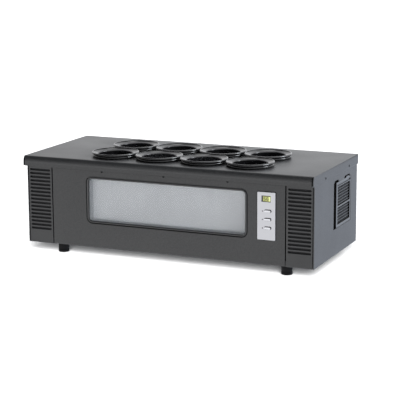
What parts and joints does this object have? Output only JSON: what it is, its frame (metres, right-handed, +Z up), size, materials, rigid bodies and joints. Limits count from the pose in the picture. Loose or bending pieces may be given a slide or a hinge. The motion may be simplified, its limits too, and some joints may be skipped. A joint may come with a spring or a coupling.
{
  "type": "wine cooler",
  "caption": "Worktop thermoelectric wine cooler: chilled cell with a front window, bottle wells through rubber collars in the lid, end louvres and a pull-out side air filter.",
  "frame": {"origin": "on the worktop, at the centre of the bottom of the whole object's box, between the feet", "axes": "+X to the right of someone facing the front, +Y to the back, +Z up"},
  "size_m": [0.7058, 0.308, 0.2395],
  "materials": {
    "coated_sheet": "satin, fine-textured charcoal powder coat",
    "grille_plastic": "satin charcoal moulding",
    "collar_rubber": "glossy black",
    "gasket_rubber": "satin black",
    "foot_rubber": "matt black",
    "glass": "clear, slightly hazed",
    "liner": "pale satin",
    "foam": "black closed-cell foam",
    "fascia": "satin white",
    "button": "satin white",
    "display": "glossy yellow-green display",
    "indicator": "dark translucent",
    "board": "green solder mask",
    "filter_frame": "satin dark grey",
    "filter_mesh": "dark open mesh",
    "aluminium": "mill finish",
    "anodised": "black anodised or black coated",
    "pale_plastic": "pale satin",
    "ceramic": "white ceramic plates",
    "fan_plastic": "satin black",
    "lamp": "white diffuser",
    "screw": "black"
  },
  "bodies": {
    "casing": {"base_pan": "coated_sheet", "cell_fan_frame": "pale_plastic", "cell_lamp": "lamp", "cell_liner": "liner", "cold_block_left": "aluminium", "cold_block_right": "aluminium", "collar_front_1": "collar_rubber", "collar_front_2": "collar_rubber", "collar_front_3": "collar_rubber", "collar_front_4": "collar_rubber", "collar_rear_1": "collar_rubber", "collar_rear_2": "collar_rubber", "collar_rear_3": "collar_rubber", "collar_rear_4": "collar_rubber", "control_board": "board", "control_fascia": "fascia", "display_lens": "display", "fan_frame_left": "fan_plastic", "fan_frame_right": "fan_plastic", "foam_jacket": "foam", "foot_front_left": "foot_rubber", "foot_front_right": "foot_rubber", "foot_rear_left": "foot_rubber", "foot_rear_right": "foot_rubber", "front_panel": "coated_sheet", "front_screw_1": "screw", "front_screw_2": "screw", "front_screw_3": "screw", "glazing_spacer": "aluminium", "heat_sink_left": "anodised", "heat_sink_right": "anodised", "indicator_1": "indicator", "indicator_2": "indicator", "indicator_3": "indicator", "inner_pane": "glass", "left_grille": "grille_plastic", "left_screw_1": "screw", "left_screw_2": "screw", "left_side_panel": "coated_sheet", "lid": "coated_sheet", "mains_inlet": "fan_plastic", "outer_pane": "glass", "power_supply": "anodised", "rear_panel": "coated_sheet", "right_grille": "grille_plastic", "right_screw_1": "screw", "right_screw_2": "screw", "right_side_panel": "coated_sheet", "thermoelectric_left": "ceramic", "thermoelectric_right": "ceramic", "top_insulation": "foam", "window_gasket": "gasket_rubber"},
    "filter_cassette": {"filter_frame": "filter_frame", "filter_mesh": "filter_mesh"},
    "left_rotor": {"fan_rotor_left": "fan_plastic"},
    "right_rotor": {"fan_rotor_right": "fan_plastic"},
    "cell_rotor": {"cell_fan_rotor": "pale_plastic"},
    "button_upper": {"button_1": "button"},
    "button_middle": {"button_2": "button"},
    "button_lower": {"button_3": "button"}
  },
  "joints": [
    {"name": "filter_pull", "type": "slide", "parent": "casing", "child": "filter_cassette", "axis": [1, 0, 0], "range_m": [0, 0.05]},
    {"name": "left_fan_spin", "type": "hinge", "parent": "casing", "child": "left_rotor", "pos_m": [-0.2775, 0.057, 0.1365], "axis": [1, 0, 0], "continuous": true},
    {"name": "right_fan_spin", "type": "hinge", "parent": "casing", "child": "right_rotor", "pos_m": [0.3025, 0.057, 0.1365], "axis": [1, 0, 0], "continuous": true},
    {"name": "cell_fan_spin", "type": "hinge", "parent": "casing", "child": "cell_rotor", "pos_m": [0.0125, 0.0852, 0.1445], "axis": [0, 1, 0], "continuous": true},
    {"name": "upper_button_press", "type": "slide", "parent": "casing", "child": "button_upper", "axis": [0, 1, 0], "range_m": [0, 0.001], "stiffness_N_per_m": 400, "springref_m": -0.0005},
    {"name": "middle_button_press", "type": "slide", "parent": "casing", "child": "button_middle", "axis": [0, 1, 0], "range_m": [0, 0.001], "stiffness_N_per_m": 400, "springref_m": -0.0005},
    {"name": "lower_button_press", "type": "slide", "parent": "casing", "child": "button_lower", "axis": [0, 1, 0], "range_m": [0, 0.001], "stiffness_N_per_m": 400, "springref_m": -0.0005}
  ]
}
